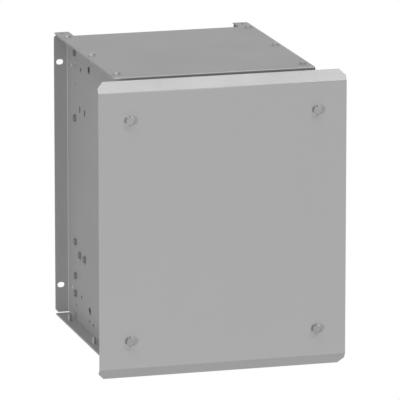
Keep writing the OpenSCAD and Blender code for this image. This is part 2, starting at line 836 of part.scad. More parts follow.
module signal_terminal() {
    color("#d8d4c8") difference() {
        translate([signal_pos[0] - signal_size[0] / 2 - 3, signal_pos[1] - signal_size[1] / 2, floor_z])
            cube(signal_size);
        for (s = [-1, 1]) {
            translate([lead_x, signal_pos[1] + s * tab_gap, signal_top - 6])
                cylinder(r = lead_r + 0.1, h = 6 + over);
            translate([lead_x + 8, signal_pos[1] + s * tab_gap, signal_top - 9])
                cylinder(r = 2.4, h = 9 + over);
        }
    }
}

// Earth stud on the floor

earth_len = 30;

module earth_stud() {
    color("#c9a24b") translate([earth_xy[0], earth_xy[1], -top_z]) {
        point_down() hexagon(bolt_af, bolt_k);
        cylinder(d = bolt_d, h = earth_len);
    }
}

module earth_nuts() {
    color("#c9a24b") for (z = [0, rod_nut_m + 3])
        translate([earth_xy[0], earth_xy[1], floor_z + z]) hex_nut(bolt_d, bolt_af, rod_nut_m);
}

// Cable glands through the bottom plate

gland_hex_h = 6;
gland_neck = 10;
gland_cap = 18;
gland_wall = 3;
lock_m = 5;

module gland_body(d) {
    af = d * 1.2;
    translate([0, 0, -top_z]) difference() {
        union() {
            point_down() hexagon(af, gland_hex_h);
            cylinder(d = d, h = sheet_t + lock_m + 3);
            translate([0, 0, -gland_hex_h - gland_neck]) cylinder(d = d - 1, h = gland_neck + over);
        }
        translate([0, 0, -gland_hex_h - gland_neck - over])
            cylinder(r = d / 2 - gland_wall, h = gland_hex_h + gland_neck + sheet_t + lock_m + 3 + 2 * over);
    }
}

module gland_seal(d, cable) {
    translate([0, 0, -top_z - gland_hex_h - gland_neck]) difference() {
        cylinder(r = d / 2 - gland_wall, h = gland_neck);
        translate([0, 0, -over]) cylinder(d = cable, h = gland_neck + 2 * over);
    }
}

// Dome nut: a hexagon with a rounded end, turning on the neck of the gland body
module gland_nut(d, cable) {
    af = d * 1.2;
    dome_z = gland_cap - 6;
    translate([0, 0, -top_z - gland_hex_h - seat_gap]) point_down() difference() {
        union() {
            hexagon(af, dome_z);
            intersection() {
                translate([0, 0, dome_z]) cylinder(d = af, h = 6);
                translate([0, 0, dome_z - af * 0.5]) sphere(r = af * 0.62);
            }
        }
        translate([0, 0, -over]) cylinder(r = (d - 1) / 2 + thread_gap, h = gland_neck + over + seat_gap);
        cylinder(r = cable / 2 + 1.5, h = gland_cap + over);
    }
}

module power_gland_body() {
    color("#3a3a3c") translate([power_gland_xy[0], power_gland_xy[1], 0]) gland_body(power_gland_d);
}
module power_gland_nut() {
    color("#3a3a3c") translate([power_gland_xy[0], power_gland_xy[1], 0])
        gland_nut(power_gland_d, power_cable_d);
}
module signal_gland_body() {
    color("#3a3a3c") translate([signal_gland_xy[0], signal_gland_xy[1], 0]) gland_body(signal_gland_d);
}
module signal_gland_nut() {
    color("#3a3a3c") translate([signal_gland_xy[0], signal_gland_xy[1], 0])
        gland_nut(signal_gland_d, signal_cable_d);
}

module gland_locknuts() {
    color("#3a3a3c") {
        translate([power_gland_xy[0], power_gland_xy[1], floor_z])
            hex_nut(power_gland_d, power_gland_d * 1.2, lock_m);
        translate([signal_gland_xy[0], signal_gland_xy[1], floor_z])
            hex_nut(signal_gland_d, signal_gland_d * 1.25, lock_m);
    }
}

module gland_seals() {
    color("#1c1c1c") {
        translate([power_gland_xy[0], power_gland_xy[1], 0]) gland_seal(power_gland_d, power_cable_d);
        translate([signal_gland_xy[0], signal_gland_xy[1], 0]) gland_seal(signal_gland_d, signal_cable_d);
    }
}

left_side_plate();
right_side_plate();
top_plate();
bottom_plate();
rear_panel();
front_guard();
front_cover();
cover_bolts();
cover_washers();
cover_standoffs();
standoff_nuts();
top_screws();
bottom_screws();
rear_panel_screws();
rear_panel_nuts();
left_rail();
right_rail();
rail_screws();
rail_nuts();
left_rack_plate();
right_rack_plate();
rack_screws();
rack_nuts();
element_core_1();
element_core_2();
element_core_3();
element_core_4();
element_core_5();
element_core_6();
element_winding_1();
element_winding_2();
element_winding_3();
element_winding_4();
element_winding_5();
element_winding_6();
terminal_bands();
end_insulators();
element_rods();
rod_nuts();
bus_links();
link_screws();
link_nuts();
input_bar();
output_bar();
terminal_block();
terminal_studs();
terminal_nuts();
terminal_bracket();
bracket_screws();
thermal_switch();
switch_leads();
signal_terminal();
earth_stud();
earth_nuts();
power_gland_body();
power_gland_nut();
signal_gland_body();
signal_gland_nut();
gland_locknuts();
gland_seals();
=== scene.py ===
"""Looks of a wall-mounted braking resistor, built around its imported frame.

X runs to the right, the front faces -Y, the wall is the plane Y = 0 and Z is up.
"""

import logging
import math
from dataclasses import dataclass
from enum import Enum

import bmesh
import bpy
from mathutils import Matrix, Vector


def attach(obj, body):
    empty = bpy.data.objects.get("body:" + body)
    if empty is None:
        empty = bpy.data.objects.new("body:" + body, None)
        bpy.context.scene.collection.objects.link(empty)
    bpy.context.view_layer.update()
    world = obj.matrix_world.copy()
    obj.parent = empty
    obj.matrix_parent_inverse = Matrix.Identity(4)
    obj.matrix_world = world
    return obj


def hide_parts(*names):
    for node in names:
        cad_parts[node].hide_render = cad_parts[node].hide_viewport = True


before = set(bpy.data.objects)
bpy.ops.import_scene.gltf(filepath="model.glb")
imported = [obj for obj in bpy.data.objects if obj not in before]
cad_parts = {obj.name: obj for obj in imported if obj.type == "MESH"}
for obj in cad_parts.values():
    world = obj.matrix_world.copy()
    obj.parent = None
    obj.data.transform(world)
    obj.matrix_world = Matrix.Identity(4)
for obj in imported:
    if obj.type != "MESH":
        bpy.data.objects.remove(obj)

Tree = bpy.types.NodeTree
Socket = bpy.types.NodeSocket
Triple = tuple[float, float, float]

MM = 0.001
LOG = logging.getLogger("braking_resistor")

# Where a finish's pattern, from 0 to 1, stops being all shade and starts being all tint.
SHADE_END, TINT_START = 0.3, 0.7
# How far the roughness swings either way with the pattern.
ROUGHNESS_SWING = 0.04
# Strength of every bump. Its height comes from the finish.
BUMP_STRENGTH = 0.6
# Broad clouds over a whole sheet, and how many layers of detail they have.
CLOUDS_PER_METRE, CLOUD_LAYERS = 9.0, 3.0
# Layers of detail in the close patterns, and how uneven a weave is.
MOTTLE_LAYERS, BRUSHED_LAYERS, WEAVE_DISTORTION = 2.0, 6.0, 0.4
# Largest of a normal's three parts, on a flat face and well into a bend.
FLAT_PART, BENT_PART = 0.99, 0.90
# A normal's part along Y on the shoulder of a bend, and how far it goes either way.
SHOULDER_PART, SHOULDER_REACH = 0.43, 0.29
# Numbers of a Mix node's two colour inputs, and of its colour output.
MIX_FIRST, MIX_SECOND, MIX_RESULT = 6, 7, 2


def linear(code: str, alpha: float = 1.0) -> tuple[float, float, float, float]:
    """Turns an sRGB hex colour into linear values.

    Args:
        code: Colour such as "#a8a8a8".
        alpha: Alpha value to append.

    Returns:
        Linear red, green, blue and alpha.
    """
    parts = [int(code[i:i + 2], 16) / 255 for i in (1, 3, 5)]
    r, g, b = (c / 12.92 if c <= 0.04045 else ((c + 0.055) / 1.055) ** 2.4 for c in parts)
    return r, g, b, alpha


def add_node(tree: Tree, kind: str, inputs: dict[str | int, object] | None = None,
             **settings: object) -> bpy.types.Node:
    """Adds a node with its settings, values and links.

    Args:
        tree: Tree that takes the node.
        kind: Blender's name of the node type.
        inputs: Input name or number to a value, or to the socket that feeds it.
        **settings: Attributes of the node itself.

    Returns:
        The new node.
    """
    made = tree.nodes.new(kind)
    for name, value in settings.items():
        setattr(made, name, value)
    for socket, value in (inputs or {}).items():
        if isinstance(value, bpy.types.NodeSocket):
            tree.links.new(value, made.inputs[socket])
        else:
            made.inputs[socket].default_value = value
    return made


class Pattern(Enum):
    """What the eye sees in a surface from close by."""

    MOTTLE = "mottle"
    SPANGLE = "spangle"
    BRUSHED = "brushed"
    WOVEN = "woven"


@dataclass(frozen=True)
class Finish:
    """One finish, from a noise at its real grain size.

    Attributes:
        name: Name of the material, after what the real one is.
        shade: Darker sRGB colour of the surface.
        tint: Lighter sRGB colour of the surface.
        roughness: Mean roughness.
        metallic: 1 for bare metal, 0 for anything else, and between them for a coat of flakes.
        grain_mm: Size of the pattern's grain in millimetres.
        bump_mm: Height of the bumps in millimetres.
        pattern: Kind of pattern.
        stretch: How the grain is drawn out along X, Y and Z.
        coat: Strength of a clear gloss over the surface.
        sheen: Strength of the soft edge light of fibres.
        specular: Strength of the reflection, 0.5 for a plain surface.
        painted_bend_highlight: Paler colour painted on the bends' shoulder as a highlight, or
            nothing.
    """

    name: str
    shade: str
    tint: str
    roughness: float
    metallic: float = 0.0
    grain_mm: float = 2.0
    bump_mm: float = 0.01
    pattern: Pattern = Pattern.MOTTLE
    stretch: Triple = (1.0, 1.0, 1.0)
    coat: float = 0.0
    sheen: float = 0.0
    specular: float = 0.5
    painted_bend_highlight: str = ""

    def material(self) -> bpy.types.Material:
        """Makes the material, or returns the one made before.

        Returns:
            The material with its nodes.
        """
        found = bpy.data.materials.get(self.name)
        if found:
            return found
        made = bpy.data.materials.new(self.name)
        made.use_nodes = True
        tree = made.node_tree
        tree.nodes.clear()
        place = add_node(tree, "ShaderNodeTexCoord").outputs["Object"]
        per_metre = 1000 / self.grain_mm
        grain = add_node(tree, "ShaderNodeMapping", {
            "Vector": place, "Scale": tuple(per_metre / s for s in self.stretch)}).outputs["Vector"]
        fine = self._grain(tree, grain)
        broad = add_node(tree, "ShaderNodeTexNoise", {
            "Vector": place, "Scale": CLOUDS_PER_METRE, "Detail": CLOUD_LAYERS}).outputs["Fac"]
        both = add_node(tree, "ShaderNodeMath", {0: fine, 1: broad}, operation="ADD").outputs[0]
        half = add_node(tree, "ShaderNodeMath", {0: both, 1: 0.5}, operation="MULTIPLY").outputs[0]
        ramp = add_node(tree, "ShaderNodeValToRGB", {"Fac": half})
        dark, light = ramp.color_ramp.elements
        dark.position, light.position = SHADE_END, TINT_START
        dark.color, light.color = linear(self.shade), linear(self.tint)
        rough = add_node(tree, "ShaderNodeMapRange", {
            "Value": half, "From Min": SHADE_END, "From Max": TINT_START,
            "To Min": self.roughness + ROUGHNESS_SWING,
            "To Max": self.roughness - ROUGHNESS_SWING}).outputs["Result"]
        bump = add_node(tree, "ShaderNodeBump", {
            "Height": fine, "Strength": BUMP_STRENGTH,
            "Distance": self.bump_mm * MM}).outputs["Normal"]
        colour = ramp.outputs["Color"]
        # Painted highlight: the shoulders of the bends take a paler colour.
        if self.painted_bend_highlight:
            colour = self._paint_bend_highlight(tree, colour)
        shader = add_node(tree, "ShaderNodeBsdfPrincipled", {
            "Base Color": colour, "Metallic": self.metallic, "Roughness": rough,
            "Normal": bump, "Coat Weight": self.coat, "Sheen Weight": self.sheen,
            "Specular IOR Level": self.specular})
        add_node(tree, "ShaderNodeOutputMaterial", {"Surface": shader.outputs["BSDF"]})
        return made

    def _paint_bend_highlight(self, tree: Tree, colour: Socket) -> Socket:
        """Paints a highlight as a paler colour on the shoulder of the front and rear bends.

        A bend is where the surface faces between two axes, and its shoulder is the half of
        it that faces less to the front or the rear.

        Args:
            tree: The material's tree.
            colour: Colour of the flat faces.

        Returns:
            The colour with a painted highlight on its bends.
        """
        normal = add_node(tree, "ShaderNodeNewGeometry").outputs["Normal"]
        parts = add_node(tree, "ShaderNodeVectorMath", {0: normal}, operation="ABSOLUTE").outputs[0]
        x, y, z = add_node(tree, "ShaderNodeSeparateXYZ", {0: parts}).outputs
        across = add_node(tree, "ShaderNodeMath", {0: x, 1: y}, operation="MAXIMUM").outputs[0]
        most = add_node(tree, "ShaderNodeMath", {0: across, 1: z}, operation="MAXIMUM").outputs[0]
        bend = add_node(tree, "ShaderNodeMapRange", {
            "Value": most, "From Min": FLAT_PART, "From Max": BENT_PART,
            "To Min": 0.0, "To Max": 1.0}).outputs["Result"]
        shoulder = add_node(tree, "ShaderNodeMath", {
            0: y, 1: SHOULDER_PART, 2: SHOULDER_REACH}, operation="COMPARE").outputs[0]
        painted_highlight = add_node(tree, "ShaderNodeMath", {0: bend, 1: shoulder},
                       operation="MULTIPLY").outputs[0]
        # The mix paints the highlight where the bend and shoulder masks meet.
        mixed = add_node(tree, "ShaderNodeMix", {
            0: painted_highlight, MIX_FIRST: colour, MIX_SECOND: linear(self.painted_bend_highlight)}, data_type="RGBA")
        return mixed.outputs[MIX_RESULT]

    def _grain(self, tree: Tree, place: Socket) -> Socket:
        """Adds the close pattern.

        Args:
            tree: The material's tree.
            place: Coordinates in grains.

        Returns:
            A value from 0 to 1.
        """
        if self.pattern is Pattern.SPANGLE:
            cells = add_node(tree, "ShaderNodeTexVoronoi", {"Vector": place, "Scale": 1.0})
            split = add_node(tree, "ShaderNodeSeparateColor", {"Color": cells.outputs["Color"]})
            return split.outputs[0]
        if self.pattern is Pattern.WOVEN:
            wave = add_node(tree, "ShaderNodeTexWave", {
                "Vector": place, "Scale": 1.0, "Distortion": WEAVE_DISTORTION})
            return wave.outputs["Fac"]
        layers = MOTTLE_LAYERS if self.pattern is Pattern.MOTTLE else BRUSHED_LAYERS
        noise = add_node(tree, "ShaderNodeTexNoise", {
            "Vector": place, "Scale": 1.0, "Detail": layers})
        return noise.outputs["Fac"]


# Powder coat: a smooth even matt grey, very fine orange peel, pale painted highlights on the bends.
HOUSING_COAT = Finish("grey_powder_coated_steel", "#a5a5a5", "#ababab", roughness=0.60,
                      grain_mm=2.2, bump_mm=0.012, specular=0.12, painted_bend_highlight="#e2e2e2")
# The cover's coat is a little paler and glossier, so that its lips take the light of the room.
COVER_COAT = Finish("grey_powder_coated_cover_steel", "#a8a8a8", "#acacac", roughness=0.31,
                    grain_mm=2.2, bump_mm=0.004, specular=0.6)
# The guard's coat is duller, and painted darker as the shade that falls behind the cover.
GUARD_PAINTED_SHADE_COAT = Finish("dull_grey_coated_sheet", "#7c7c7c", "#888888", roughness=0.5,
                    grain_mm=2.0, bump_mm=0.012)
# Zinc plated nuts and inner screws: pale metal with a slight haze.
ZINC_PLATE = Finish("zinc_plated_steel", "#9fa09f", "#bcbdbb", roughness=0.38,
                    metallic=1.0, grain_mm=0.8, bump_mm=0.006)
# Zinc flake coated side screws: an even matt grey of fine flakes in a binder.
FLAKE_ZINC = Finish("zinc_flake_coated_steel", "#7e7f7f", "#8a8b8b", roughness=0.50,
                    grain_mm=0.8, bump_mm=0.008, specular=0.2)
# The flanged screws have a paler flake coat, in which a little of the metal glints.
PALE_FLAKE = Finish("pale_zinc_flake_coated_steel", "#989999", "#a5a6a6", roughness=0.45,
                    metallic=0.3, grain_mm=0.8, bump_mm=0.008, specular=0.2)
# Bright zinc plated bolts: smooth metal that mirrors the sheet in its sides and the room in
# its face.
BRIGHT_BOLT = Finish("bright_zinc_plated_steel", "#878888", "#929393", roughness=0.24,
                     metallic=1.0, grain_mm=0.9, bump_mm=0.003)
# The washers are punched from plated strip: paler, and a little duller.
BRIGHT_WASHER = Finish("bright_zinc_plated_strip", "#a0a1a1", "#aaabab", roughness=0.26,
                       metallic=1.0, grain_mm=0.9, bump_mm=0.003)
# Turned and plated stand-offs: pale satin metal.
TURNED_ZINC = Finish("bright_turned_zinc_plated_steel", "#98999a", "#b4b5b4", roughness=0.34,
                     metallic=1.0, grain_mm=0.7, bump_mm=0.008)
# Hot-dip galvanised sheet: crystals of zinc about 8 mm across, each its own shade of grey.
GALVANISED = Finish("hot_dip_galvanised_sheet", "#8d9092", "#b9bcbd", roughness=0.42,
                    metallic=1.0, grain_mm=8, bump_mm=0.002, pattern=Pattern.SPANGLE)
# Drawn steel rod: faint lines along the rod.
DRAWN_STEEL = Finish("drawn_steel_rod", "#858686", "#a9aaaa", roughness=0.36,
                     metallic=1.0, grain_mm=0.6, bump_mm=0.004, pattern=Pattern.BRUSHED,
                     stretch=(20.0, 1.0, 1.0))
# Steatite tube: off-white, dry and slightly speckled.
STEATITE = Finish("unglazed_steatite_ceramic", "#cfc7b4", "#e3dccb", roughness=0.72,
                  grain_mm=1.5, bump_mm=0.03)
# Glazed steatite: paler, under a thin clear glaze.
GLAZED = Finish("glazed_steatite_ceramic", "#ded8c9", "#ede8dc", roughness=0.3,
                grain_mm=3, bump_mm=0.02, coat=0.6)
# Chromium alloy ribbon after its first heat: brown and straw tints in soft patches.
HEATED_RIBBON = Finish("heat_tinted_chromium_alloy_ribbon", "#75604b", "#b3a084", roughness=0.4,
                       metallic=1.0, grain_mm=14, bump_mm=0.004, pattern=Pattern.BRUSHED,
                       stretch=(2.0, 1.0, 1.0))
# Tinned copper bar: soft whitish metal with a cloudy surface.
TINNED_BAR = Finish("tinned_copper_bar", "#b4b3ac", "#cfcec7", roughness=0.36,
                    metallic=1.0, grain_mm=5, bump_mm=0.004)
# Turned brass: warm yellow with a fine satin grain.
TURNED_BRASS = Finish("turned_brass", "#b08c3c", "#cfab5a", roughness=0.3,
                      metallic=1.0, grain_mm=0.7, bump_mm=0.006)
# Phenolic moulding: near black, with an even low gloss.
PHENOLIC = Finish("black_phenolic_moulding", "#232325", "#303033", roughness=0.48,
                  grain_mm=1.2, bump_mm=0.02)
# Polyamide gland: dark grey with the fine spark texture of its mould.
POLYAMIDE = Finish("dark_grey_moulded_polyamide", "#37383a", "#46474a", roughness=0.52,
                   grain_mm=0.8, bump_mm=0.03)
# Nitrile seal: black and dull.
NITRILE = Finish("black_nitrile_rubber", "#171717", "#232323", roughness=0.78,
                 grain_mm=1.0, bump_mm=0.03)
# Glass fibre sleeve: a fine pale braid, drawn at 1.2 mm so that it shows.
GLASS_SLEEVE = Finish("braided_glass_fibre_sleeve", "#b9b4a2", "#d8d3c3", roughness=0.8,
                      grain_mm=1.2, bump_mm=0.08, pattern=Pattern.WOVEN, sheen=0.3)
# Studio floor: seamless pale paper, almost as bright as the backdrop.
STUDIO_PAPER = Finish("pale_studio_floor", "#f0f0f0", "#f1f1f1", roughness=0.8,
                      grain_mm=40, bump_mm=0.0, specular=0.0)


def add_object(name: str, data: bpy.types.ID) -> bpy.types.Object:
    """Adds an object to the scene.

    Args:
        name: Name of the object.
        data: Its mesh, lamp or camera.

    Returns:
        The new object, at the origin.
    """
    made = bpy.data.objects.new(name, data)
    bpy.context.scene.collection.objects.link(made)
    return made


def apply_modifiers(piece: bpy.types.Object) -> bpy.types.Mesh:
    """Turns a piece with its modifiers into a plain mesh.

    Args:
        piece: The piece, which keeps the mesh and loses the modifiers.

    Returns:
        The plain mesh, named after the piece.
    """
    graph = bpy.context.evaluated_depsgraph_get()
    made = bpy.data.meshes.new_from_object(piece.evaluated_get(graph))
    made.name = piece.name
    piece.modifiers.clear()
    piece.data = made
    return made


def dress(finish: Finish, *nodes: str) -> None:
    """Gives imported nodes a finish.

    Args:
        finish: The finish.
        *nodes: Names of the nodes.
    """
    material = finish.material()
    for name in nodes:
        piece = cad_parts[name]
        if not piece.material_slots:
            piece.data.materials.append(material)
        for place in piece.material_slots:
            place.material = material
        LOG.info("%s wears %s", name, finish.name)


def set_inputs(modifier: bpy.types.NodesModifier, values: dict[str, object]) -> None:
    """Sets a Geometry Nodes modifier's inputs by their sockets' identifiers.

    Args:
        modifier: The modifier.
        values: Input name to value.
    """
    for item in modifier.node_group.interface.items_tree:
        if item.item_type == "SOCKET" and item.in_out == "INPUT" and item.name in values:
            modifier[item.identifier] = values[item.name]


def new_tree(name: str, inputs: dict[str, str]) -> tuple[Tree, bpy.types.Node]:
    """Starts a Geometry Nodes tree with named inputs.

    Args:
        name: Name of the tree.
        inputs: Input name to the kind of its socket, such as "Float".

    Returns:
        The tree and its input node.
    """
    tree = bpy.data.node_groups.new(name, "GeometryNodeTree")
    tree.interface.new_socket("Geometry", in_out="OUTPUT", socket_type="NodeSocketGeometry")
    for label, kind in {"Geometry": "Geometry", **inputs}.items():
        tree.interface.new_socket(label, in_out="INPUT", socket_type=f"NodeSocket{kind}")
    return tree, add_node(tree, "NodeGroupInput")


def end_tree(tree: Tree, shape: Socket, finish: Socket) -> None:
    """Ends a tree with real geometry that wears the finish.

    Args:
        tree: The tree.
        shape: Geometry made so far.
        finish: The material input.
    """
    real = add_node(tree, "GeometryNodeRealizeInstances", {0: shape})
    dressed = add_node(tree, "GeometryNodeSetMaterial", {
        "Geometry": real.outputs[0], "Material": finish})
    add_node(tree, "NodeGroupOutput", {0: dressed.outputs[0]})


def plain_piece(name: str, points: bpy.types.Mesh, tree: Tree,
                values: dict[str, object]) -> bpy.types.Object:
    """Runs a tree on a mesh of points and keeps the result as a plain mesh.

    Args:
        name: Name of the piece.
        points: Mesh that the tree starts from.
        tree: The tree.
        values: Input name to value.

    Returns:
        The finished piece, at the origin.
    """
    piece = add_object(name, points)
    modifier = piece.modifiers.new("build", "NODES")
    modifier.node_group = tree
    set_inputs(modifier, values)
    apply_modifiers(piece)
    return piece


def smooth_by_angle(mesh: bpy.types.Mesh, degrees: float, widest: float = 400.0) -> None:
    """Shades a mesh smooth, but for its sharp edges and wide flat faces.

    Args:
        mesh: The mesh.
        degrees: Angle from which an edge stays sharp.
        widest: Area in square millimetres from which a face is shaded flat.
    """
    limit = math.radians(degrees)
    shape = bmesh.new()
    shape.from_mesh(mesh)
    for face in shape.faces:
        face.smooth = face.calc_area() < widest * MM * MM
    for edge in shape.edges:
        edge.smooth = len(edge.link_faces) == 2 and edge.calc_face_angle(0.0) < limit
    shape.to_mesh(mesh)
    shape.free()


@dataclass(frozen=True)
class HexScrew:
    """A hexagon head with chamfered corners, a flange or none, and its shank.

    Lengths are in millimetres and angles in degrees.

    Attributes:
        across_flats: Width of the head across its flats.
        head: Height of the head.
        shank_d: Diameter of the shank.
        shank: Length of the shank below the seat.
        flange_d: Diameter of the flange, or 0 for none.
        flange_t: Thickness of the flange.
        rim_run: How far in the rounding of the flange's rim starts.
        rim_drop: How far down the rounding of the flange's rim ends.
        lead_in: Chamfer on the shank's end.
        face: Width of the head's flat face, as a share of the width across flats.
        hub: Width of the middle of that face, as a share of the face.
        chamfer: Slope of the chamfer on the corners.
        crease: Angle from which an edge is shaded sharp.
        sides: Steps round the head, a multiple of six.
    """

    across_flats: float
    head: float
    shank_d: float
    shank: float
    flange_d: float = 0.0
    flange_t: float = 1.0
    rim_run: float = 0.5
    rim_drop: float = 0.4
    lead_in: float = 0.7
    face: float = 0.93
    hub: float = 0.6
    chamfer: float = 20.0
    crease: float = 15.0
    sides: int = 36

    def _angles(self) -> list[float]:
        """Gives the angle of each step round the screw."""
        return [2 * math.pi * i / self.sides for i in range(self.sides)]

    def _circle(self, radius: float, height: float) -> list[tuple[float, float]]:
        """Gives a round ring, the same at each step."""
        return [(radius, height)] * self.sides

    def rings(self) -> list[list[tuple[float, float]]]:
        """Works out the rings from the top of the head to the shank's end.

        Returns:
            For each ring, the radius and height at each step.
        """
        flat = self.across_flats / 2
        hexagon = [flat / math.cos(a % (math.pi / 3) - math.pi / 6) for a in self._angles()]
        inner = self.face * flat
        slope = math.tan(math.radians(self.chamfer))
        base = self.flange_t if self.flange_d else 0.0
        rings = [
            self._circle(inner * self.hub, self.head),
            self._circle(inner, self.head),
            [(r, self.head - (r - inner) * slope) for r in hexagon],
            [(r, base) for r in hexagon],
        ]
        if self.flange_d:
            rim = self.flange_d / 2
            rings += [self._circle(rim - self.rim_run, base),
                      self._circle(rim, base - self.rim_drop), self._circle(rim, 0.0)]
        thread = self.shank_d / 2
        rings += [self._circle(thread, 0.0), self._circle(thread, -self.shank + self.lead_in),
                  self._circle(thread - self.lead_in, -self.shank)]
        return rings

    def mesh(self, name: str) -> bpy.types.Mesh:
        """Builds the screw with its seat at Z = 0 and its head above.

        Args:
            name: Name of the mesh.

        Returns:
            The closed mesh, in metres.
        """
        shape = bmesh.new()
        rows = [[shape.verts.new((r * math.cos(a) * MM, r * math.sin(a) * MM, z * MM))
                 for a, (r, z) in zip(self._angles(), ring)] for ring in self.rings()]
        for upper, lower in zip(rows, rows[1:]):
            for i in range(self.sides):
                j = (i + 1) % self.sides
                shape.faces.new((upper[i], lower[i], lower[j], upper[j]))
        shape.faces.new(rows[0])
        shape.faces.new(rows[-1][::-1])
        bmesh.ops.recalc_face_normals(shape, faces=shape.faces)
        made = bpy.data.meshes.new(name)
        shape.to_mesh(made)
        shape.free()
        smooth_by_angle(made, self.crease)
        return made


@dataclass
class ScrewSet:
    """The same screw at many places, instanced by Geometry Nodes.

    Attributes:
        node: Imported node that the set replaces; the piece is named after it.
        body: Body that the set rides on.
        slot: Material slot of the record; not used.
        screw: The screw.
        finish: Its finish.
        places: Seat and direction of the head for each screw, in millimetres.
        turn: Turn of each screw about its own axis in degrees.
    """

    node: str
    body: str
    slot: str
    screw: HexScrew
    finish: Finish
    places: list[tuple[Triple, Triple]]
    turn: float

    @staticmethod
    def tree() -> Tree:
        """Makes the tree that puts a screw on every point, or finds the one made before.

        Returns:
            The tree.
        """
        name = "screws_on_points"
        found = bpy.data.node_groups.get(name)
        if found:
            return found
        tree, start = new_tree(name, {"Screw": "Object", "Turn": "Float", "Finish": "Material"})
        read = start.outputs
        towards = add_node(tree, "GeometryNodeInputNamedAttribute", {"Name": "towards"},
                           data_type="FLOAT_VECTOR")
        aligned = add_node(tree, "FunctionNodeAlignRotationToVector", {
            "Vector": towards.outputs[0]}, axis="Z")
        spun = add_node(tree, "FunctionNodeAxisAngleToRotation", {
            "Axis": (0.0, 0.0, 1.0), "Angle": read["Turn"]})
        turned = add_node(tree, "FunctionNodeRotateRotation", {
            0: aligned.outputs[0], 1: spun.outputs[0]}, rotation_space="LOCAL")
        screw = add_node(tree, "GeometryNodeObjectInfo", {"Object": read["Screw"]})
        put = add_node(tree, "GeometryNodeInstanceOnPoints", {
            "Points": read["Geometry"], "Instance": screw.outputs["Geometry"],
            "Rotation": turned.outputs[0]})
        end_tree(tree, put.outputs[0], read["Finish"])
        return tree

    def build(self) -> bpy.types.Object:
        """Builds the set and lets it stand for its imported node.

        Returns:
            The piece.
        """
        label = f"{self.node}_pattern"
        pattern = add_object(label, self.screw.mesh(label))
        points = bpy.data.meshes.new(f"{self.node}_points")
        points.from_pydata([tuple(c * MM for c in seat) for seat, _ in self.places], [], [])
        points.attributes.new("towards", "FLOAT_VECTOR", "POINT").data.foreach_set(
            "vector", [c for _, towards in self.places for c in towards])
        piece = plain_piece(f"{self.node}_detail", points, self.tree(), {
            "Screw": pattern, "Turn": math.radians(self.turn),
            "Finish": self.finish.material()})
        bpy.data.objects.remove(pattern)
        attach(piece, self.body)
        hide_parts(self.node)
        LOG.info("%s: %d screws", piece.name, len(self.places))
        return piece


@dataclass(frozen=True)
class Softbox:
    """A distant soft lamp.

    Attributes:
        name: Name of the lamp.
        towards: Direction from the object to the lamp.
        strength: Light that reaches the object, in watts per square metre.
        spread: Width of the lamp as the object sees it, in degrees.
    """

    name: str
    towards: Triple
    strength: float
    spread: float

    def build(self) -> None:
        """Makes the lamp."""
        data = bpy.data.lights.new(self.name, "SUN")
        data.energy, data.angle = self.strength, math.radians(self.spread)
        lamp = add_object(self.name, data)
        lamp.rotation_euler = Vector(self.towards).to_track_quat("Z", "Y").to_euler()


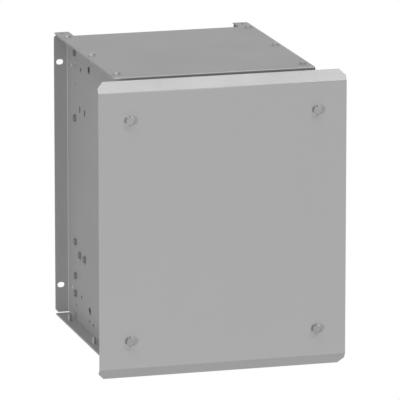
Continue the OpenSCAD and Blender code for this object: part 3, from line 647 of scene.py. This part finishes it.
@dataclass
class Studio:
    """Camera, lamps, floor and backdrop.

    Attributes:
        target: Point in the middle of the picture, in millimetres.
        azimuth: Camera's turn round the object in degrees.
        elevation: Camera's height in degrees.
        distance: Camera's distance from the target in metres.
        lens: Focal length in millimetres.
        sensor: Width of the sensor in millimetres.
        clip: Nearest and farthest distance that the camera sees, in metres.
        floor_z: Height of the floor in metres.
        floor_reach: How far the floor reaches each way, in metres.
        white: Colour of the backdrop and of the light from all round.
        ambient: Strength of the light from all round.
        lamps: The lamps.
    """

    target: Triple = (-38.6, -438.3, 44.2)
    azimuth: float = -15.741
    elevation: float = 12.895
    distance: float = 8.515
    lens: float = 481.4
    sensor: float = 36.0
    clip: tuple[float, float] = (0.1, 100.0)
    floor_z: float = -0.9
    floor_reach: float = 1.5
    white: str = "#ffffff"
    ambient: float = 0.2
    lamps: tuple[Softbox, ...] = (
        Softbox("left_softbox", (-0.77, -0.63, 0.0), 1.11, 10),
        Softbox("front_softbox", (0.15, -0.98, 0.05), 0.70, 10),
        Softbox("overhead_softbox", (0.0, 0.0, 1.0), 0.69, 20),
        Softbox("upper_left_softbox", (-0.4, -0.3, 0.87), 0.43, 20),
        Softbox("upper_front_softbox", (0.26, -0.55, 0.79), 0.50, 9),
        Softbox("rear_softbox", (0.85, 0.45, 0.3), 0.90, 20),
    )

    def build(self) -> None:
        """Makes the whole studio."""
        self._camera()
        self._world()
        self._floor()
        for lamp in self.lamps:
            lamp.build()
        bpy.context.scene.view_settings.view_transform = "Standard"

    def _camera(self) -> None:
        """Puts the camera at the photograph's viewing angle."""
        a, e = math.radians(self.azimuth), math.radians(self.elevation)
        back = Vector((math.sin(a) * math.cos(e), -math.cos(a) * math.cos(e), math.sin(e)))
        data = bpy.data.cameras.new("camera")
        data.lens, data.sensor_width = self.lens, self.sensor
        data.clip_start, data.clip_end = self.clip
        camera = add_object("camera", data)
        camera.location = Vector(self.target) * MM + back * self.distance
        camera.rotation_euler = (-back).to_track_quat("-Z", "Y").to_euler()
        bpy.context.scene.camera = camera

    def _world(self) -> None:
        """Makes a world that is white to see and in mirrors, and lights the object gently."""
        world = bpy.data.worlds.new("studio")
        world.use_nodes = True
        tree = world.node_tree
        tree.nodes.clear()
        path = add_node(tree, "ShaderNodeLightPath").outputs
        seen = path["Is Camera Ray"]
        for ray in ("Is Glossy Ray", "Is Transmission Ray"):
            seen = add_node(tree, "ShaderNodeMath", {0: seen, 1: path[ray]},
                            operation="MAXIMUM").outputs[0]
        colour = linear(self.white)
        soft = add_node(tree, "ShaderNodeBackground", {"Color": colour, "Strength": self.ambient})
        white = add_node(tree, "ShaderNodeBackground", {"Color": colour, "Strength": 1.0})
        mix = add_node(tree, "ShaderNodeMixShader", {
            0: seen, 1: soft.outputs[0], 2: white.outputs[0]})
        add_node(tree, "ShaderNodeOutputWorld", {"Surface": mix.outputs[0]})
        bpy.context.scene.world = world

    def _floor(self) -> None:
        """Makes the pale floor under the wall unit."""
        corners = [(x * self.floor_reach, y * self.floor_reach, self.floor_z)
                   for x, y in ((-1, -1), (1, -1), (1, 1), (-1, 1))]
        mesh = bpy.data.meshes.new("studio_floor")
        mesh.from_pydata(corners, [], [(0, 1, 2, 3)])
        mesh.materials.append(STUDIO_PAPER.material())
        floor = add_object("studio_floor", mesh)


@dataclass
class Housing:
    """Bent sheets of the housing and what holds them together.

    Lengths are in millimetres.

    Attributes:
        sheets: Nodes of the coated sheets.
        fasteners: Nodes of the plated nuts and inner screws.
        rack: Nodes of the galvanised rails, rack plates and bracket.
        half_height: Height of the top plate's upper face above the middle.
        web_x: Outer face of a side plate's web.
        top_x: Place of the top screws either side of the middle.
        top_y: Their depths in front of the wall.
        bottom_x: Place of the bottom screws either side of the middle.
        bottom_y: Their depths.
        rear_y: Depth of the rear panel's screws.
        rear_z: Their heights.
        rail_y: Depths of the rail screws.
        rail_z: Their height.
        top_screw: Flanged screw of the top plate.
        bottom_screw: Flanged screw of the bottom plate.
        side_screw: Plain screw of the rear panel and rails.
    """

    sheets: tuple[str, ...] = (
        "left_side_plate", "right_side_plate", "top_plate", "bottom_plate", "rear_panel")
    fasteners: tuple[str, ...] = (
        "rear_panel_nuts", "rail_nuts", "rack_screws", "rack_nuts", "bracket_screws",
        "link_screws", "link_nuts")
    rack: tuple[str, ...] = (
        "left_rail", "right_rail", "left_rack_plate", "right_rack_plate", "terminal_bracket")
    half_height: float = 240
    web_x: float = 144
    top_x: float = 155
    top_y: tuple[float, ...] = (49, 207, 365)
    bottom_x: float = 158
    bottom_y: tuple[float, ...] = (62, 222, 365)
    rear_y: float = 54
    rear_z: tuple[float, ...] = (214.5, 105, -105, -163, -193)
    rail_y: tuple[float, ...] = (82, 114, 276.5, 308.5)
    rail_z: float = -121.5
    top_screw: HexScrew = HexScrew(across_flats=10, head=4, shank_d=6, shank=12, flange_d=13)
    bottom_screw: HexScrew = HexScrew(across_flats=10, head=4, shank_d=6, shank=14, flange_d=13)
    side_screw: HexScrew = HexScrew(across_flats=10, head=4, shank_d=6, shank=11)

    def build(self) -> None:
        """Dresses the sheets and the rack, and builds the screws that show."""
        dress(HOUSING_COAT, *self.sheets)
        # The guard's darker coat is painted shade.
        dress(GUARD_PAINTED_SHADE_COAT, "front_guard")
        dress(ZINC_PLATE, *self.fasteners)
        dress(GALVANISED, *self.rack)
        self._plate_screws()
        self._side_screws()

    def _plate_screws(self) -> None:
        """Builds the flanged screws through the top and bottom plates."""
        top = [((s * self.top_x, -y, self.half_height), (0, 0, 1))
               for s in (-1, 1) for y in self.top_y]
        bottom = [((s * self.bottom_x, -y, -self.half_height), (0, 0, -1))
                  for s in (-1, 1) for y in self.bottom_y]
        ScrewSet("top_screws", "housing", "screw_steel", self.top_screw, PALE_FLAKE, top,
                 turn=25).build()
        ScrewSet("bottom_screws", "housing", "screw_steel", self.bottom_screw, PALE_FLAKE,
                 bottom, turn=10).build()

    def _side_screws(self) -> None:
        """Builds the screws of the rear panel and of the rails, through the side plates."""
        rear = [((s * self.web_x, -self.rear_y, z), (s, 0, 0))
                for s in (-1, 1) for z in self.rear_z]
        rails = [((s * self.web_x, -y, self.rail_z), (s, 0, 0))
                 for s in (-1, 1) for y in self.rail_y]
        ScrewSet("rear_panel_screws", "housing", "screw_steel", self.side_screw, FLAKE_ZINC,
                 rear, turn=15).build()
        ScrewSet("rail_screws", "housing", "screw_steel", self.side_screw, FLAKE_ZINC,
                 rails, turn=8).build()


@dataclass
class Cover:
    """Raised front cover with its bolts and stand-offs.

    Lengths are in millimetres and angles in degrees.

    Attributes:
        width: Width of the cover.
        face: Height of the flat face.
        rise: Rise of each lip.
        back: Depth that each lip reaches back.
        front_y: Place of the front face.
        sheet: Thickness of the sheet.
        bend: Outside radius of the bends.
        bend_steps: Steps round each bend.
        cut: Cut at the lip corners.
        edge: Rounding of the sheet's cut edges.
        edge_steps: Steps round each of those edges.
        edge_angle: Angle from which an edge is rounded.
        crease: Angle from which an edge is shaded sharp.
        bolt: Bolt of the cover.
        bolt_x: Place of the bolts either side of the middle.
        bolt_z: Place of the bolts above and below the middle.
        seat_y: Place of the bolt heads' seat, on the washers.
    """

    width: float = 410.0
    face: float = 450.0
    rise: float = 17.5
    back: float = 12.0
    front_y: float = -438.0
    sheet: float = 1.5
    bend: float = 2.5
    bend_steps: int = 6
    cut: float = 9.5
    edge: float = 0.3
    edge_steps: int = 2
    edge_angle: float = 50.0
    crease: float = 30.0
    bolt: HexScrew = HexScrew(across_flats=13, head=5.3, shank_d=8, shank=22)
    bolt_x: float = 155
    bolt_z: float = 180
    seat_y: float = -439.6

    def build(self) -> None:
        """Builds the sheet and the bolts, and dresses what stays."""
        self._sheet()
        dress(BRIGHT_WASHER, "cover_washers")
        dress(TURNED_ZINC, "cover_standoffs", "standoff_nuts")
        places = [((x, self.seat_y, z), (0, -1, 0))
                  for x in (-self.bolt_x, self.bolt_x) for z in (-self.bolt_z, self.bolt_z)]
        ScrewSet("cover_bolts", "cover", "bolt_steel", self.bolt, BRIGHT_BOLT, places,
                 turn=20).build()

    def _half_section(self) -> list[Triple]:
        """Works out the upper half of the front surface.

        Returns:
            Y, Z and half width at each level, from the flat face to the tip of the lip.
        """
        turn, half = math.atan2(self.back, self.rise), self.width / 2
        run = self.bend * math.tan(turn / 2)
        levels = []
        for i in range(self.bend_steps + 1):
            a = turn * i / self.bend_steps
            levels.append((self.front_y + self.bend * (1 - math.cos(a)),
                           self.face / 2 - run + self.bend * math.sin(a), half))
        tip_y, tip_z = self.front_y + self.back, self.face / 2 + self.rise
        along = self.cut / self.rise
        levels.append((tip_y - self.back * along, tip_z - self.cut, half))
        levels.append((tip_y, tip_z, half - self.cut))
        return levels

    def _sheet(self) -> None:
        """Builds the bent sheet with rounded edges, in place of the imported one."""
        upper = self._half_section()
        rows = [(y, -z, w) for y, z, w in reversed(upper)] + upper
        shape = bmesh.new()
        pairs = [(shape.verts.new((-w * MM, y * MM, z * MM)),
                  shape.verts.new((w * MM, y * MM, z * MM))) for y, z, w in rows]
        for (a, b), (c, d) in zip(pairs, pairs[1:]):
            shape.faces.new((a, b, d, c))
        mesh = bpy.data.meshes.new("front_cover_sheet")
        shape.to_mesh(mesh)
        shape.free()
        piece = add_object("front_cover_sheet", mesh)
        solid = piece.modifiers.new("thickness", "SOLIDIFY")
        # The thickness goes back from the front surface.
        solid.thickness, solid.offset, solid.use_even_offset = self.sheet * MM, -1.0, True
        edge = piece.modifiers.new("edges", "BEVEL")
        edge.width, edge.segments = self.edge * MM, self.edge_steps
        edge.limit_method, edge.angle_limit = "ANGLE", math.radians(self.edge_angle)
        made = apply_modifiers(piece)
        smooth_by_angle(made, self.crease)
        made.materials.append(COVER_COAT.material())
        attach(piece, "cover")
        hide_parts("front_cover")
        LOG.info("%s: bent sheet, %d faces", piece.name, len(made.polygons))


@dataclass
class ElementBank:
    """Six ribbon elements on ceramic tubes, with rods, bands and links.

    Lengths are in millimetres.

    Attributes:
        columns: Y of the rear and front column.
        rows: Z of the three rows.
        order: Column and row of each element, as the current goes.
        turns: Turns of ribbon.
        turn_steps: Steps in each turn.
        pitch: Distance from turn to turn.
        inner: Inner radius of the ribbon, close round the tube.
        outer: Outer radius of the ribbon.
        thickness: Thickness of the ribbon.
    """

    columns: tuple[float, float] = (-140.0, -280.0)
    rows: Triple = (-35.0, 65.0, 165.0)
    order: tuple[tuple[int, int], ...] = ((0, 0), (1, 0), (1, 1), (0, 1), (0, 2), (1, 2))
    turns: float = 18.8
    turn_steps: int = 40
    pitch: float = 8.0
    inner: float = 30.1
    outer: float = 38.0
    thickness: float = 1.4

    @staticmethod
    def _ribbon_tree() -> Tree:
        """Makes the tree that winds a ribbon on edge along X.

        Returns:
            The tree.
        """
        tree, start = new_tree("edge_wound_ribbon", {
            "Steps": "Int", "Turns": "Float", "Length": "Float", "Radius": "Float",
            "Height": "Float", "Thickness": "Float", "Finish": "Material"})
        read = start.outputs
        helix = add_node(tree, "GeometryNodeCurveSpiral", {
            "Resolution": read["Steps"], "Rotations": read["Turns"],
            "Start Radius": read["Radius"], "End Radius": read["Radius"],
            "Height": read["Length"]})
        upright = add_node(tree, "GeometryNodeSetCurveNormal", {"Curve": helix.outputs[0]},
                           mode="Z_UP")
        profile = add_node(tree, "GeometryNodeCurvePrimitiveQuadrilateral", {
            "Width": read["Height"], "Height": read["Thickness"]})
        swept = add_node(tree, "GeometryNodeCurveToMesh", {
            "Curve": upright.outputs[0], "Profile Curve": profile.outputs[0],
            "Fill Caps": True})
        half_back = add_node(tree, "ShaderNodeMath", {0: read["Length"], 1: -0.5},
                             operation="MULTIPLY")
        shift = add_node(tree, "ShaderNodeCombineXYZ", {"X": half_back.outputs[0]})
        laid = add_node(tree, "GeometryNodeTransform", {
            "Geometry": swept.outputs[0], "Translation": shift.outputs[0],
            "Rotation": (0.0, math.pi / 2, 0.0)})
        placed = add_node(tree, "GeometryNodeInstanceOnPoints", {
            "Points": read["Geometry"], "Instance": laid.outputs[0]})
        end_tree(tree, placed.outputs[0], read["Finish"])
        return tree

    def _ribbons(self) -> None:
        """Winds the ribbon of each element."""
        tree = self._ribbon_tree()
        sizes = {
            "Steps": self.turn_steps,
            "Turns": self.turns,
            "Length": self.turns * self.pitch * MM,
            "Radius": (self.inner + self.outer) / 2 * MM,
            "Height": (self.outer - self.inner) * MM,
            "Thickness": self.thickness * MM,
            "Finish": HEATED_RIBBON.material(),
        }
        for number, (column, row) in enumerate(self.order, 1):
            centre = bpy.data.meshes.new(f"ribbon_centre_{number}")
            centre.from_pydata([(0.0, self.columns[column] * MM, self.rows[row] * MM)], [], [])
            piece = plain_piece(f"element_ribbon_{number}", centre, tree, sizes)
            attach(piece, "housing")
            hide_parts(f"element_winding_{number}")
            LOG.info("%s: %d faces", piece.name, len(piece.data.polygons))

    def build(self) -> None:
        """Winds the ribbons and dresses what stays."""
        dress(STEATITE, *(f"element_core_{i + 1}" for i in range(len(self.order))))
        self._ribbons()
        dress(GLAZED, "end_insulators")
        dress(DRAWN_STEEL, "element_rods", "rod_nuts", "terminal_bands")
        dress(TINNED_BAR, "bus_links", "input_bar", "output_bar")


@dataclass
class Connections:
    """Terminals, thermal switch, earth stud and cable glands.

    Attributes:
        blocks: Nodes of the glazed terminal blocks.
        studs: Nodes of the brass studs and their nuts.
        glands: Nodes of the cable glands but for their seals.
    """

    blocks: tuple[str, ...] = ("terminal_block", "signal_terminal")
    studs: tuple[str, ...] = ("terminal_studs", "terminal_nuts", "earth_stud", "earth_nuts")
    glands: tuple[str, ...] = (
        "power_gland_body", "power_gland_nut", "signal_gland_body", "signal_gland_nut",
        "gland_locknuts")

    def build(self) -> None:
        """Dresses the connections."""
        dress(GLAZED, *self.blocks)
        dress(TURNED_BRASS, *self.studs)
        dress(PHENOLIC, "thermal_switch")
        dress(GLASS_SLEEVE, "switch_leads")
        dress(POLYAMIDE, *self.glands)
        dress(NITRILE, "gland_seals")


def main() -> None:
    """Builds the studio and every sub-assembly."""
    logging.basicConfig(level=logging.INFO, format="%(name)s: %(message)s")
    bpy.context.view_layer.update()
    Studio().build()
    for part in (Housing(), Cover(), ElementBank(), Connections()):
        part.build()
        LOG.info("%s done", type(part).__name__)


if __name__ == "__main__":
    main()
